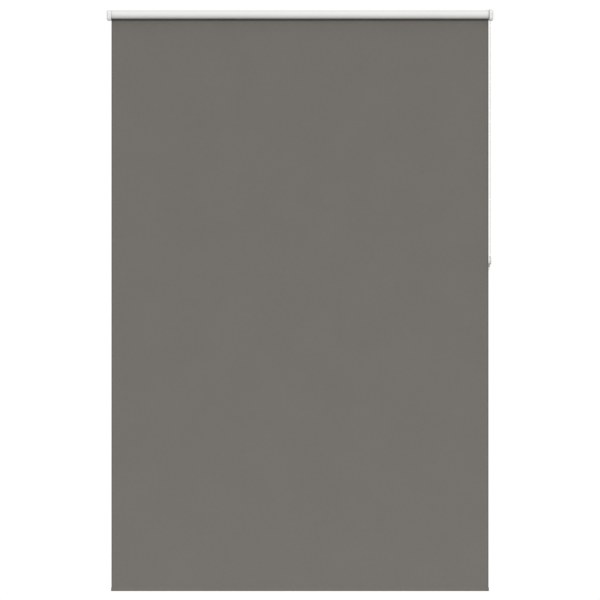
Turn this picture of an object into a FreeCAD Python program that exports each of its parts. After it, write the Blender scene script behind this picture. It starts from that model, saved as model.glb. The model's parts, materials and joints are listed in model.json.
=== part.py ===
"""Roller blind with a side chain drive, lowered to its full drop.

Millimetres. The origin is the middle of the four wall screws, on the wall plane and level with
the roller's axis. +X points to the chain side, +Y into the wall and +Z up.
"""

import FreeCAD, Part
import Sketcher
import math
import os

DRIVING_SIZES = [
    # The cloth
    ("fabric_width", 1366.0, "width of the cloth, which is also the length of the tube"),
    ("drop", 2089.0, "roller axis to the lowest edge of the hem"),
    ("fabric_thickness", 0.32, "coated polyester cloth"),
    ("wraps", 2.75, "turns that stay on the tube when the blind is down"),
    ("panel_gap", 0.3, "between the roll and the hanging cloth"),
    # The roller
    ("axis_depth", 28.0, "wall to roller axis"),
    ("tube_radius", 14.0, "outside of the tube"),
    ("tube_wall", 1.0, "tube sheet"),
    ("tape_thickness", 0.13, "adhesive strip under the first turn of cloth"),
    ("tape_arc", 48.0, "degrees of the tube that the strip covers"),
    ("tape_inset", 3.0, "strip end to cloth edge"),
    # The stack of parts at each end, from the tube outwards
    ("end_gap", 0.2, "tube end to plug flange"),
    ("flange_thickness", 1.6, "flange of the idle plug and of the drive hub"),
    ("hub_flange_rise", 0.6, "flange of the drive hub outside the tube"),
    ("plug_flange_drop", 0.6, "flange of the idle plug inside the tube's outside"),
    ("wheel_gap", 0.6, "hub flange to chain wheel"),
    ("wheel_width", 7.6, "chain wheel"),
    ("wheel_play", 0.6, "chain wheel to housing plate"),
    ("housing_wall", 1.6, "rim of the clutch housing"),
    ("housing_plate", 2.6, "end plate of the clutch housing"),
    ("arm_thickness", 2.0, "bracket sheet"),
    ("cover_gap", 0.2, "bracket to cover"),
    ("cover_room", 1.1, "clutch housing to cover, all round"),
    ("cover_wall", 1.6, "cover"),
    ("left_cover_clear", 0.9, "cloth edge to the left cover's edge"),
    ("right_cover_clear", 3.3, "cloth edge to the right cover's edge"),
    ("left_cover_rise", 1.6, "top of the left cover above the top of the tube"),
    ("cover_front_room", 3.5, "how much more the cover stands forward than up"),
    ("cover_skirt", 4.4, "how much more the cover hangs down than stands up"),
    ("cover_corner", 13.0, "front corners of the cover, seen from the side"),
    ("cover_rim", 7.0, "rounding of the cover's outer rim"),
    ("cover_bite", 0.8, "how far the bracket's outline reaches into that rounding"),
    # The brackets
    ("flange_reach", 28.0, "outer face of the bracket to the end of its wall flange"),
    ("screw_inset", 16.2, "outer face of the bracket to the screw line"),
    ("screw_rise", 8.5, "screw holes above and below the axis"),
    ("screw_hole_radius", 2.25, "for a 4 mm screw"),
    ("bend_radius", 2.0, "inside of the bracket's bend"),
    ("flange_corner", 3.0, "free corners of the wall flange"),
    ("collar_length", 4.6, "drawn collar round the idle pin"),
    ("collar_wall", 2.35, "the same collar"),
    # The bead chain and its wheel
    ("bead_radius", 2.25, "beads of the chain"),
    ("bead_pitch", 6.0, "from bead to bead"),
    ("pockets", 12.0, "beads in one turn of the wheel"),
    ("string_radius", 0.75, "string that joins the beads"),
    ("bead_play", 0.25, "bead to pocket, and string to slot"),
    ("bead_room", 0.75, "beads on the wheel to the housing rim"),
    ("rim_above_pitch", 0.6, "wheel rim outside the beads' centre line"),
    ("chain_exit", 12.5, "axis down to where both strands leave the clutch"),
    ("chain_drop", 890.8, "axis down to the middle of the tensioner"),
    # The clutch and the plugs
    ("running_fit", 0.1, "radial clearance of everything that turns"),
    ("plug_depth", 34.0, "how far the plug and the hub go into the tube"),
    ("rib_height", 1.4, "ribs that grip the tube, from the plug's core to the tube"),
    ("rib_width", 1.6, "the same ribs"),
    ("ribs", 8.0, "ribs round a plug"),
    ("rib_clear", 0.05, "ribs to tube"),
    ("hub_wall", 1.9, "wall of the hub round its spring chamber"),
    ("spring_wire", 0.6, "radius of the wrap springs' wire"),
    ("spring_coils", 4.9, "turns of a wrap spring"),
    ("spring_pitch", 1.32, "wrap spring"),
    ("spring_space", 7.8, "from one wrap spring to the next"),
    ("spring_floor", 16.0, "hub flange to the bottom of the spring chamber"),
    ("spring_play", 0.35, "wrap spring to the sleeve round it"),
    ("spring_fit", 0.15, "wrap spring to spindle"),
    ("sleeve_wall", 1.8, "drive sleeve of the chain wheel"),
    ("sleeve_arc", 300.0, "degrees that the sleeve covers"),
    ("tongue_arc", 20.0, "degrees that the hub's inner tongue covers"),
    ("tang_angle", 18.0, "spring ends, to either side of the tongue"),
    ("clip_thickness", 0.9, "retaining clip of the spindle"),
    ("clip_arc", 290.0, "degrees that the clip covers"),
    ("clip_depth", 1.0, "groove for that clip"),
    ("clip_height", 2.5, "how far that clip stands out of the spindle"),
    ("lug_depth", 4.0, "hooks of the housing, along Y"),
    ("lug_height", 8.0, "the same hooks, along Z"),
    ("lug_offset", 9.5, "middle of a hook to the axis"),
    ("lug_fit", 0.15, "hook to slot"),
    ("tenon_share", 1.2, "side of the spindle's square end, in spindle radii"),
    # The spring-loaded idle pin
    ("pin_radius", 4.0, "idle pin"),
    ("pin_hole_fit", 0.15, "pin to bracket"),
    ("pin_recess", 0.2, "pin tip inside the bracket's outer face"),
    ("pin_tip", 1.0, "chamfer of the pin"),
    ("pin_stroke", 7.0, "how far the pin can be pushed in"),
    ("pin_guide", 7.8, "length of plug that guides the pin"),
    ("pin_collar", 5.5, "radius of the collar that stops the pin"),
    ("pin_collar_length", 2.5, "the same collar"),
    ("pin_nose_radius", 2.2, "nose that centres the spring"),
    ("pin_nose_length", 10.5, "the same nose"),
    ("coil_wire", 0.4, "radius of the pin spring's wire"),
    ("coil_radius", 3.9, "mean radius of the pin spring"),
    ("coil_turns", 8.0, "pin spring"),
    ("stop_thickness", 4.0, "plug that closes the spring chamber"),
    ("stop_nose", 2.5, "its own centring nose"),
    # The bottom rail
    ("hem_height", 27.0, "folded and welded part of the cloth"),
    ("slat_height", 12.0, "bottom slat"),
    ("slat_thickness", 5.0, "bottom slat"),
    ("slat_wall", 1.0, "the slat is a hollow section"),
    ("slat_inset", 1.0, "cloth edge to slat end"),
    ("slat_fit", 0.1, "slat to hem, and end cap to slat"),
    ("cap_thickness", 1.5, "how far an end cap stands out of the hem"),
    ("cap_rim", 0.5, "end cap past the hem all round"),
    ("cap_edge", 0.7, "rounding of the end cap's face"),
    ("cap_tongue", 15.0, "end cap inside the slat"),
    # The chain's fittings
    ("guard_gap", 0.3, "beads to the tensioner's cheeks"),
    ("guard_wall", 1.0, "cheeks of the tensioner"),
    ("guard_rim", 0.6, "cheeks past the beads all round"),
    ("drum_fit", 0.14, "beads to the tensioner's drum"),
    ("foot_thickness", 2.5, "tensioner's foot on the wall"),
    ("foot_drop", 35.0, "tensioner's middle to the end of its foot"),
    ("foot_hole_drop", 27.0, "tensioner's middle to its screw hole"),
    ("foot_hole_radius", 2.1, "that screw hole"),
    ("foot_overlap", 5.0, "how far the foot reaches up beside the cheeks"),
    ("foot_corner", 2.2, "lower corners of the foot"),
    ("foot_offset", 3.8, "how far the foot stands beside the chain, towards the cloth"),
    ("guard_edge", 0.5, "rounding of the tensioner's outline"),
]

# How far features of one part run into each other so that they join
JOIN = 0.2

doc = FreeCAD.newDocument("roller_blind")
sheet = doc.addObject("Spreadsheet::Sheet", "sizes")


class Size:
    """A length or an angle: its number, and the expression of sheet cells that gives it."""

    def __init__(self, value, text=None):
        self.value = float(value)
        self.text = text if text else repr(float(value))

    def joined(self, other, sign, value, swapped=False):
        """The size that two sizes make with one arithmetic sign."""
        texts = [self.text, size_of(other).text]
        if swapped:
            texts.reverse()
        return Size(value, "(%s %s %s)" % (texts[0], sign, texts[1]))

    def __add__(self, other):
        return self.joined(other, "+", self.value + number(other))

    def __radd__(self, other):
        return self.joined(other, "+", number(other) + self.value, True)

    def __sub__(self, other):
        return self.joined(other, "-", self.value - number(other))

    def __rsub__(self, other):
        return self.joined(other, "-", number(other) - self.value, True)

    def __mul__(self, other):
        return self.joined(other, "*", self.value * number(other))

    def __rmul__(self, other):
        return self.joined(other, "*", number(other) * self.value, True)

    def __truediv__(self, other):
        return self.joined(other, "/", self.value / number(other))

    def __neg__(self):
        return self * -1


def size_of(item):
    return item if isinstance(item, Size) else Size(item)


def number(item):
    return size_of(item).value


class Sizes:
    """The sheet's cells as attributes, each a Size."""


s = Sizes()
for row, (alias, value, meaning) in enumerate(DRIVING_SIZES, 1):
    sheet.set("A%d" % row, meaning)
    sheet.set("B%d" % row, repr(value))
    sheet.setAlias("B%d" % row, alias)
doc.recompute()
for alias, value, meaning in DRIVING_SIZES:
    setattr(s, alias, Size(sheet.get(alias), "sizes." + alias))


# ---------------------------------------------------------------- worked-out sizes

roll_inner = s.tube_radius + s.tape_thickness + 0.07
roll_radius = roll_inner + s.wraps * s.fabric_thickness
panel_back = roll_radius + s.panel_gap + s.fabric_thickness
tube_bore = s.tube_radius - s.tube_wall

# Distances from the middle of the blind, the same at both ends
tube_end = s.fabric_width / 2
flange_in = tube_end + s.end_gap
flange_out = flange_in + s.flange_thickness
wheel_in = flange_out + s.wheel_gap
chain_x = wheel_in + s.wheel_width / 2
wheel_out = wheel_in + s.wheel_width
plate_in = wheel_out + s.wheel_play
arm_in = plate_in + s.housing_plate
arm_out = arm_in + s.arm_thickness
cover_in = arm_out + s.cover_gap
cover_out = cover_in + s.cover_wall
cover_edges = {-1: tube_end + s.left_cover_clear, 1: tube_end + s.right_cover_clear}
screw_x = arm_out - s.screw_inset
plug_end = tube_end - s.plug_depth

# A chain of straight links round the wheel: pitch / (2 sin(180 / pockets))
pitch_radius = Size(
    s.bead_pitch.value / 2 / math.sin(math.pi / s.pockets.value),
    "(sizes.bead_pitch / 2 / sin(180 deg / sizes.pockets))",
)
pocket_radius = s.bead_radius + s.bead_play
wheel_radius = pitch_radius + s.rim_above_pitch
housing_inner = pitch_radius + s.bead_radius + s.bead_room
housing_radius = housing_inner + s.housing_wall

# The covers seen from the side, measured from the roller's axis
right_cover_top = housing_radius + s.cover_room + s.cover_wall
cover_tops = {-1: s.tube_radius + s.left_cover_rise, 1: right_cover_top}
cover_front = right_cover_top + s.cover_front_room
cover_bottom = right_cover_top + s.cover_skirt
arm_inset = s.cover_rim - s.cover_bite

# Inside the drive hub, from the tube inwards: core, chamber, sleeve, springs, spindle
plug_core = tube_bore - s.rib_height
chamber_radius = plug_core - s.hub_wall
sleeve_outer = chamber_radius - 2 * s.running_fit
sleeve_inner = sleeve_outer - s.sleeve_wall
spring_mean = sleeve_inner - s.spring_play - s.spring_wire
spindle_radius = spring_mean - s.spring_wire - s.spring_fit
spindle_bore = spindle_radius + s.running_fit
spring_floor_x = flange_out - s.spring_floor
tenon_half = spindle_radius * s.tenon_share / 2

# The hem and what is in it
cloth_y = panel_back - s.fabric_thickness / 2
pocket_half_thickness = s.slat_thickness / 2 + s.slat_fit
pocket_half_height = s.slat_height / 2 + s.slat_fit
pocket_outer = pocket_half_thickness + s.fabric_thickness
hem_top = s.hem_height - s.drop
slat_z = pocket_half_height + s.fabric_thickness - s.drop


# ---------------------------------------------------------------- building helpers


def bind(item, path, size):
    """Ties one property to the sheet, or sets it where the size is a plain number."""
    item.setExpression(path, size_of(size).text)


def new_body(label, depth=True):
    """A body whose own origin lies on the roller's axis, or on the wall if depth is False."""
    body = doc.addObject("PartDesign::Body", label)
    body.Label = label
    if depth:
        bind(body, "Placement.Base.y", -s.axis_depth)
    return body


def plane_of(body, role):
    return [f for f in body.Origin.OriginFeatures if f.Role == role][0]


def sketch_on(body, plane, name, start=0):
    """An empty sketch on one of the body's planes, moved along the plane's normal by start."""
    sketch = body.newObject("Sketcher::SketchObject", name)
    sketch.AttachmentSupport = (plane_of(body, plane), [""])
    sketch.MapMode = "FlatFace"
    bind(sketch, "AttachmentOffset.Base.z", start)
    return sketch


def pin_point(sketch, geometry, point, across, up):
    """Holds one point of a sketch at a distance from its origin, both ways."""
    for kind, size in (("DistanceX", across), ("DistanceY", up)):
        index = sketch.addConstraint(
            Sketcher.Constraint(kind, -1, 1, geometry, point, number(size))
        )
        bind(sketch, "Constraints[%d]" % index, size)


def add_outline(sketch, points):
    """A closed outline of straight lines through the points, each held by two distances."""
    places = [FreeCAD.Vector(number(a), number(b), 0) for a, b in points]
    first = sketch.GeometryCount
    count = len(points)
    for i in range(count):
        sketch.addGeometry(Part.LineSegment(places[i], places[(i + 1) % count]))
    for i in range(count):
        sketch.addConstraint(
            Sketcher.Constraint("Coincident", first + i, 2, first + (i + 1) % count, 1)
        )
    for i, (a, b) in enumerate(points):
        pin_point(sketch, first + i, 1, a, b)


def add_circle(sketch, across, up, radius):
    place = FreeCAD.Vector(number(across), number(up), 0)
    index = sketch.addGeometry(
        Part.Circle(place, FreeCAD.Vector(0, 0, 1), number(radius))
    )
    pin_point(sketch, index, 3, across, up)
    held = sketch.addConstraint(Sketcher.Constraint("Radius", index, number(radius)))
    bind(sketch, "Constraints[%d]" % held, radius)


def add_slot(sketch, across, up, half_width, half_height):
    """An upright slot, with a half circle of half_width at each end."""
    straight = half_height - half_width
    low = number(up) - number(straight)
    high = number(up) + number(straight)
    left = number(across) - number(half_width)
    right = number(across) + number(half_width)
    up_axis = FreeCAD.Vector(0, 0, 1)
    first = sketch.GeometryCount
    top = Part.Circle(FreeCAD.Vector(number(across), high, 0), up_axis, number(half_width))
    base = Part.Circle(FreeCAD.Vector(number(across), low, 0), up_axis, number(half_width))
    sketch.addGeometry(Part.ArcOfCircle(top, 0, math.pi))
    sketch.addGeometry(
        Part.LineSegment(FreeCAD.Vector(left, high, 0), FreeCAD.Vector(left, low, 0))
    )
    sketch.addGeometry(Part.ArcOfCircle(base, math.pi, 2 * math.pi))
    sketch.addGeometry(
        Part.LineSegment(FreeCAD.Vector(right, low, 0), FreeCAD.Vector(right, high, 0))
    )
    for i, (end, start) in enumerate(((2, 1), (2, 1), (2, 1), (2, 1))):
        sketch.addConstraint(
            Sketcher.Constraint("Tangent", first + i, end, first + (i + 1) % 4, start)
        )
    pin_point(sketch, first, 3, across, up + straight)
    pin_point(sketch, first + 2, 3, across, up - straight)
    held = sketch.addConstraint(Sketcher.Constraint("Radius", first, number(half_width)))
    bind(sketch, "Constraints[%d]" % held, half_width)


def pad(body, sketch, length, reverse=False):
    feature = body.newObject("PartDesign::Pad", sketch.Name + "_pad")
    feature.Profile = sketch
    bind(feature, "Length", length)
    feature.Reversed = reverse
    sketch.Visibility = False
    return feature


def pocket(body, sketch, length, reverse=False):
    feature = body.newObject("PartDesign::Pocket", sketch.Name + "_pocket")
    feature.Profile = sketch
    bind(feature, "Length", length)
    feature.Reversed = reverse
    return feature


def turned(body, name, points, kind="PartDesign::Revolution", arc=360, far_side=False):
    """A profile of (distance along X, radius) turned about the body's X axis.
    A part turn is centred on the +Y side, or on the -Y side if far_side is set."""
    sketch = sketch_on(body, "XY_Plane", name + "_profile")
    side = -1 if far_side else 1
    add_outline(sketch, [(x, side * r) for x, r in points])
    feature = body.newObject(kind, name)
    feature.Profile = sketch
    feature.ReferenceAxis = (sketch, ["H_Axis"])
    feature.Midplane = True
    bind(feature, "Angle", arc)
    return feature


def box(body, name, kind, low, high):
    """An additive or subtractive box between two corners, in the body's own frame."""
    feature = body.newObject("PartDesign::%sBox" % kind, name)
    feature.AttachmentSupport = (plane_of(body, "XY_Plane"), [""])
    feature.MapMode = "FlatFace"
    for axis, side, a, b in zip("xyz", ("Length", "Width", "Height"), low, high):
        bind(feature, "AttachmentOffset.Base." + axis, a)
        bind(feature, side, size_of(b) - a)
    return feature


def mirror_pair(side, a, b):
    """Two distances from the middle as low and high X, at the left (-1) or right (1) end."""
    return (a, b) if side > 0 else (-b, -a)


def pattern_round(body, features, count):
    """Repeats features round the body's X axis."""
    feature = body.newObject("PartDesign::PolarPattern", features[0].Name + "_round")
    feature.Originals = features
    feature.Axis = (plane_of(body, "X_Axis"), [""])
    feature.Angle = 360
    bind(feature, "Occurrences", count)
    body.Tip = feature
    return feature


def edges_where(feature, test):
    """Names of the edges whose middle and direction pass the test."""
    names = []
    for index, edge in enumerate(feature.Shape.Edges, 1):
        bounds = edge.BoundBox
        if test(bounds.Center, bounds):
            names.append("Edge%d" % index)
    return names


def fillet(body, base, edges, radius, name):
    feature = body.newObject("PartDesign::Fillet", name)
    feature.Base = (base, edges)
    bind(feature, "Radius", radius)
    return feature


def near(a, b):
    return abs(a - number(b)) < 0.01


# ---------------------------------------------------------------- the roller


def make_tube():
    body = new_body("roller_tube")
    turned(
        body,
        "tube_wall_ring",
        [
            (-tube_end, tube_bore),
            (tube_end, tube_bore),
            (tube_end, s.tube_radius),
            (-tube_end, s.tube_radius),
        ],
    )


def make_tape():
    """The adhesive strip lies on the tube, under the first turn of cloth."""
    body = new_body("fabric_tape")
    inner = s.tube_radius + 0.03
    end = tube_end - s.tape_inset
    turned(
        body,
        "strip",
        [
            (-end, inner),
            (end, inner),
            (end, inner + s.tape_thickness),
            (-end, inner + s.tape_thickness),
        ],
        arc=s.tape_arc,
    )


def make_roll():
    """The turns of cloth that stay on the tube, as one plain ring."""
    body = new_body("fabric_roll")
    turned(
        body,
        "turns",
        [
            (-tube_end, roll_inner),
            (tube_end, roll_inner),
            (tube_end, roll_radius),
            (-tube_end, roll_radius),
        ],
    )


def add_ribs(body, side, end):
    """Ribs along the plug that grip the inside of the tube."""
    low_x, high_x = mirror_pair(side, end + 1, flange_in)
    half = s.rib_width / 2
    rib = box(
        body,
        "rib",
        "Additive",
        (low_x, -half, plug_core - 1),
        (high_x, half, tube_bore - s.rib_clear),
    )
    pattern_round(body, [rib], s.ribs)


def make_idle_plug():
    """Closes the left end of the tube and carries the spring-loaded pin."""
    body = new_body("idle_plug")
    guide_end = flange_out - s.pin_guide
    turned(
        body,
        "plug",
        [
            (-plug_end, s.pin_collar + 2 * s.running_fit),
            (-guide_end, s.pin_collar + 2 * s.running_fit),
            (-guide_end, s.pin_radius + s.running_fit),
            (-flange_out, s.pin_radius + s.running_fit),
            (-flange_out, s.tube_radius - s.plug_flange_drop),
            (-flange_in, s.tube_radius - s.plug_flange_drop),
            (-flange_in, plug_core),
            (-plug_end, plug_core),
        ],
    )
    add_ribs(body, -1, plug_end)


def make_spring_stop():
    body = new_body("spring_stop")
    front = plug_end + s.stop_thickness
    turned(
        body,
        "stop",
        [
            (-plug_end, 0),
            (-plug_end, s.pin_collar + s.running_fit),
            (-front, s.pin_collar + s.running_fit),
            (-front, s.pin_nose_radius),
            (-front - s.stop_nose, s.pin_nose_radius),
            (-front - s.stop_nose, 0),
        ],
    )


def pin_collar_x():
    """Outer face of the pin's collar, just off the plug's shoulder."""
    return flange_out - s.pin_guide - s.running_fit


def make_idle_pin():
    body = new_body("idle_pin")
    tip = arm_out - s.pin_recess
    collar = pin_collar_x()
    back = collar - s.pin_collar_length
    turned(
        body,
        "pin",
        [
            (-tip, 0),
            (-tip, s.pin_radius - s.pin_tip),
            (-tip + s.pin_tip, s.pin_radius),
            (-collar, s.pin_radius),
            (-collar, s.pin_collar),
            (-back, s.pin_collar),
            (-back, s.pin_nose_radius),
            (-back + s.pin_nose_length, s.pin_nose_radius),
            (-back + s.pin_nose_length, 0),
        ],
    )


def coil_shape(start_x, length, turns, radius, wire):
    """A round-wire coil round the X axis. It starts at start_x, on the +Y side."""
    height = length - 2 * wire
    helix = Part.makeHelix(height / turns, height, radius)
    section = Part.Wire(
        Part.makeCircle(wire, FreeCAD.Vector(radius, 0, 0), FreeCAD.Vector(0, 1, 0))
    )
    shape = Part.Wire(helix).makePipeShell([section], True, True)
    turn = FreeCAD.Rotation(
        FreeCAD.Vector(0, 1, 0), FreeCAD.Vector(0, 0, 1), FreeCAD.Vector(1, 0, 0)
    )
    # The coil's own Z becomes +X, its X becomes +Y and its Y becomes +Z.
    shape.Placement = FreeCAD.Placement(
        FreeCAD.Vector(start_x + wire, 0, 0), turn
    )
    return shape


def add_shape(label, shape):
    """A part whose shape is set directly, placed on the roller's axis."""
    item = doc.addObject("Part::Feature", label)
    item.Label = label
    item.Shape = shape
    bind(item, "Placement.Base.y", -s.axis_depth)


def make_idle_spring():
    stop_x = -number(plug_end + s.stop_thickness) - 0.1
    collar_x = -number(pin_collar_x() - s.pin_collar_length) + 0.1
    add_shape(
        "idle_spring",
        coil_shape(
            collar_x,
            stop_x - collar_x,
            s.coil_turns.value,
            s.coil_radius.value,
            s.coil_wire.value,
        ),
    )


def make_drive_hub():
    """Turns the tube. Its chamber holds the wheel's sleeve and the wrap springs."""
    body = new_body("drive_hub")
    turned(
        body,
        "hub",
        [
            (plug_end, spindle_bore),
            (spring_floor_x, spindle_bore),
            (spring_floor_x, chamber_radius),
            (flange_out, chamber_radius),
            (flange_out, s.tube_radius + s.hub_flange_rise),
            (flange_in, s.tube_radius + s.hub_flange_rise),
            (flange_in, plug_core),
            (plug_end, plug_core),
        ],
    )
    turned(
        body,
        "tongue",
        [
            (spring_floor_x, sleeve_inner),
            (flange_out, sleeve_inner),
            (flange_out, chamber_radius + 0.5),
            (spring_floor_x, chamber_radius + 0.5),
        ],
        arc=s.tongue_arc,
    )
    add_ribs(body, 1, plug_end)


def make_chain_wheel():
    """A wheel with a pocket for each bead, and a sleeve that frees the wrap springs."""
    body = new_body("chain_wheel")
    turned(
        body,
        "wheel",
        [
            (wheel_in, spindle_bore),
            (wheel_out, spindle_bore),
            (wheel_out, wheel_radius),
            (wheel_in, wheel_radius),
        ],
    )
    turned(
        body,
        "sleeve",
        [
            (spring_floor_x + s.wheel_gap, sleeve_inner),
            (wheel_in + 0.5, sleeve_inner),
            (wheel_in + 0.5, sleeve_outer),
            (spring_floor_x + s.wheel_gap, sleeve_outer),
        ],
        arc=s.sleeve_arc,
        far_side=True,
    )
    slot_half = s.string_radius + s.bead_play
    slot_floor = pitch_radius - s.string_radius - 2 * s.bead_play
    turned(
        body,
        "string_slot",
        [
            (chain_x - slot_half, slot_floor),
            (chain_x + slot_half, slot_floor),
            (chain_x + slot_half, wheel_radius + 1),
            (chain_x - slot_half, wheel_radius + 1),
        ],
        kind="PartDesign::Groove",
    )
    seat = body.newObject("PartDesign::SubtractiveSphere", "bead_pocket")
    seat.AttachmentSupport = (plane_of(body, "XY_Plane"), [""])
    seat.MapMode = "FlatFace"
    bind(seat, "AttachmentOffset.Base.x", chain_x)
    bind(seat, "AttachmentOffset.Base.y", pitch_radius)
    bind(seat, "Radius", pocket_radius)
    pattern_round(body, [seat], s.pockets)


def make_wrap_spring(number_in_row):
    """A spring that grips the spindle, with both ends turned out beside the hub's tongue."""
    length = s.spring_coils.value * s.spring_pitch.value + 2 * s.spring_wire.value
    start_x = number(
        spring_floor_x + s.wheel_gap + (number_in_row - 1) * s.spring_space + 0.4
    )
    wire, mean = s.spring_wire.value, number(spring_mean)
    coil = coil_shape(start_x, length, s.spring_coils.value, mean, wire)
    axis = FreeCAD.Vector(1, 0, 0)
    coil.rotate(FreeCAD.Vector(0, 0, 0), axis, s.tang_angle.value)
    reach = number(sleeve_outer) - 0.2 - mean
    ends = ((start_x + wire, s.tang_angle.value), (start_x + length - wire, -s.tang_angle.value))
    for x, angle in ends:
        tang = Part.makeCylinder(
            wire, reach, FreeCAD.Vector(x, mean, 0), FreeCAD.Vector(0, 1, 0)
        )
        tang.rotate(FreeCAD.Vector(0, 0, 0), axis, angle)
        coil = coil.fuse(tang)
    add_shape("wrap_spring_%d" % number_in_row, coil)


# ---------------------------------------------------------------- the fixed end parts


def make_bracket(label, side):
    """Bent sheet: an arm beside the roller and a flange on the wall."""
    body = new_body(label, depth=False)
    front = -(s.axis_depth + cover_front - arm_inset)
    bottom = arm_inset - cover_bottom
    low_x, high_x = mirror_pair(side, arm_in, arm_out)
    top = cover_tops[side] - arm_inset
    box(body, "arm", "Additive", (low_x, front, bottom), (high_x, 0, top))
    low_x, high_x = mirror_pair(side, arm_out - s.flange_reach, arm_out)
    box(body, "flange_root", "Additive", (low_x, -s.arm_thickness, bottom), (high_x, 0, top))
    low_x, high_x = mirror_pair(side, arm_out - s.flange_reach, arm_out - s.cover_rim)
    inside = s.cover_wall + s.cover_gap
    box(
        body,
        "wall_flange",
        "Additive",
        (low_x, -s.arm_thickness, inside - cover_bottom),
        (high_x, 0, cover_tops[side] - inside),
    )
    holes = sketch_on(body, "XZ_Plane", "screw_holes")
    for rise in (-s.screw_rise, s.screw_rise):
        add_circle(holes, side * screw_x, rise, s.screw_hole_radius)
    drilled = pocket(body, holes, s.arm_thickness * 3)
    drilled.Midplane = True
    doc.recompute()
    bend = round_upright_edge(body, drilled, side * arm_in, -s.arm_thickness, s.bend_radius)
    outside = s.bend_radius + s.arm_thickness
    bend = round_upright_edge(body, bend, side * arm_out, 0, outside)
    corners = edges_where(bend, lambda c, b: near(c.y, front) and b.XLength > 1 and b.ZLength < 1)
    front_corners = fillet(body, bend, corners, s.cover_corner - arm_inset, "front_corners")
    doc.recompute()
    end = side * (arm_out - s.flange_reach)
    corners = edges_where(
        front_corners, lambda c, b: near(c.x, end) and b.YLength > 1 and b.ZLength < 0.1
    )
    fillet(body, front_corners, corners, s.flange_corner, "flange_corners")
    return body


def round_upright_edge(body, base, x, y, radius):
    """Fillets the upright edges of a bracket at (x, y)."""
    edges = edges_where(base, lambda c, b: near(c.x, x) and near(c.y, y) and b.ZLength > 1)
    rounded = fillet(body, base, edges, radius, "bend")
    doc.recompute()
    return rounded


def make_left_bracket():
    """Adds the drawn collar that the idle pin rests in. The collar is on the axis."""
    body = make_bracket("left_bracket", -1)
    collar = sketch_on(body, "YZ_Plane", "collar", -arm_in)
    hole_radius = s.pin_radius + s.pin_hole_fit
    add_circle(collar, -s.axis_depth, 0, hole_radius + s.collar_wall)
    pad(body, collar, s.collar_length)
    hole = sketch_on(body, "YZ_Plane", "pin_hole", -arm_in)
    add_circle(hole, -s.axis_depth, 0, hole_radius)
    cut = pocket(body, hole, (s.collar_length + s.arm_thickness) * 3)
    cut.Midplane = True


def lug_boxes():
    """The low and high corners of the housing's two hooks, along Y and Z."""
    half_y, half_z = s.lug_depth / 2, s.lug_height / 2
    return [
        ((sign * s.lug_offset - half_y, -half_z), (sign * s.lug_offset + half_y, half_z))
        for sign in (-1, 1)
    ]


def make_right_bracket():
    """Adds the slots that the clutch housing hooks into."""
    body = make_bracket("right_bracket", 1)
    for index, ((y0, z0), (y1, z1)) in enumerate(lug_boxes()):
        box(
            body,
            "hook_slot_%d" % index,
            "Subtractive",
            (arm_in - 1, y0 - s.axis_depth - s.lug_fit, z0 - s.lug_fit),
            (arm_out + 1, y1 - s.axis_depth + s.lug_fit, z1 + s.lug_fit),
        )


def rounded_block(label, side, low, high, corner, rim):
    """A box whose two front corners and outer rim are rounded."""
    body = new_body(label, depth=False)
    base = box(body, "block", "Additive", low, high)
    doc.recompute()
    front = low[1]
    outer = high[0] if side > 0 else low[0]
    corners = edges_where(base, lambda c, b: near(c.y, front) and b.XLength > 1 and b.ZLength < 1)
    rounded = fillet(body, base, corners, corner, "front_corners")
    doc.recompute()
    back = number(high[1])
    rim_edges = edges_where(
        rounded,
        lambda c, b: near(b.XMin, outer) and near(b.XMax, outer) and c.y < back - 0.1,
    )
    fillet(body, rounded, rim_edges, rim, "outer_rim")
    return body


def make_cover(label, side):
    """Moulded cap over the bracket: open to the wall and to the roller."""
    front = -(s.axis_depth + cover_front)
    low_x, high_x = mirror_pair(side, cover_edges[side], cover_out)
    block = rounded_block(
        label + "_block",
        side,
        (low_x, front, -cover_bottom),
        (high_x, -s.cover_gap, cover_tops[side]),
        s.cover_corner,
        s.cover_rim,
    )
    low_x, high_x = mirror_pair(side, cover_edges[side] - 1, cover_in)
    hollow = rounded_block(
        label + "_hollow",
        side,
        (low_x, front + s.cover_wall, s.cover_wall - cover_bottom),
        (high_x, 1, cover_tops[side] - s.cover_wall),
        s.cover_corner - s.cover_wall,
        s.cover_rim - s.cover_wall,
    )
    shell = doc.addObject("Part::Cut", label)
    shell.Label = label
    shell.Base = block
    shell.Tool = hollow
    return hollow


def make_right_cover():
    """The cap on the chain side has a notch in its underside for the chain's two strands."""
    hollow = make_cover("right_cover", 1)
    reach = pitch_radius + s.bead_radius + s.bead_room
    box(
        hollow,
        "chain_notch",
        "Additive",
        (cover_edges[1] - 1, -s.axis_depth - reach, -cover_bottom - 1),
        (plate_in, reach - s.axis_depth, 0),
    )


def make_housing():
    """Stationary cup round the chain wheel, with a way out for each strand."""
    body = new_body("clutch_housing")
    turned(
        body,
        "cup",
        [
            (plate_in, 0),
            (arm_in, 0),
            (arm_in, housing_radius),
            (wheel_in, housing_radius),
            (wheel_in, housing_inner),
            (plate_in, housing_inner),
        ],
    )
    half = s.bead_radius + 3 * s.bead_play
    for name, middle in (("front_way", -pitch_radius), ("back_way", pitch_radius)):
        box(
            body,
            name,
            "Subtractive",
            (wheel_in - 1, middle - half, -housing_radius - 1),
            (plate_in, middle + half, 0),
        )
    half = tenon_half + s.running_fit
    box(
        body,
        "tenon_hole",
        "Subtractive",
        (plate_in - 1, -half, -half),
        (arm_in + 1, half, half),
    )
    for index, ((y0, z0), (y1, z1)) in enumerate(lug_boxes()):
        box(body, "hook_%d" % index, "Additive", (arm_in - 0.5, y0, z0), (arm_out, y1, z1))


def clip_x():
    """The retaining clip's side of the hub's inner end."""
    return plug_end - 2 * s.running_fit


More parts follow.
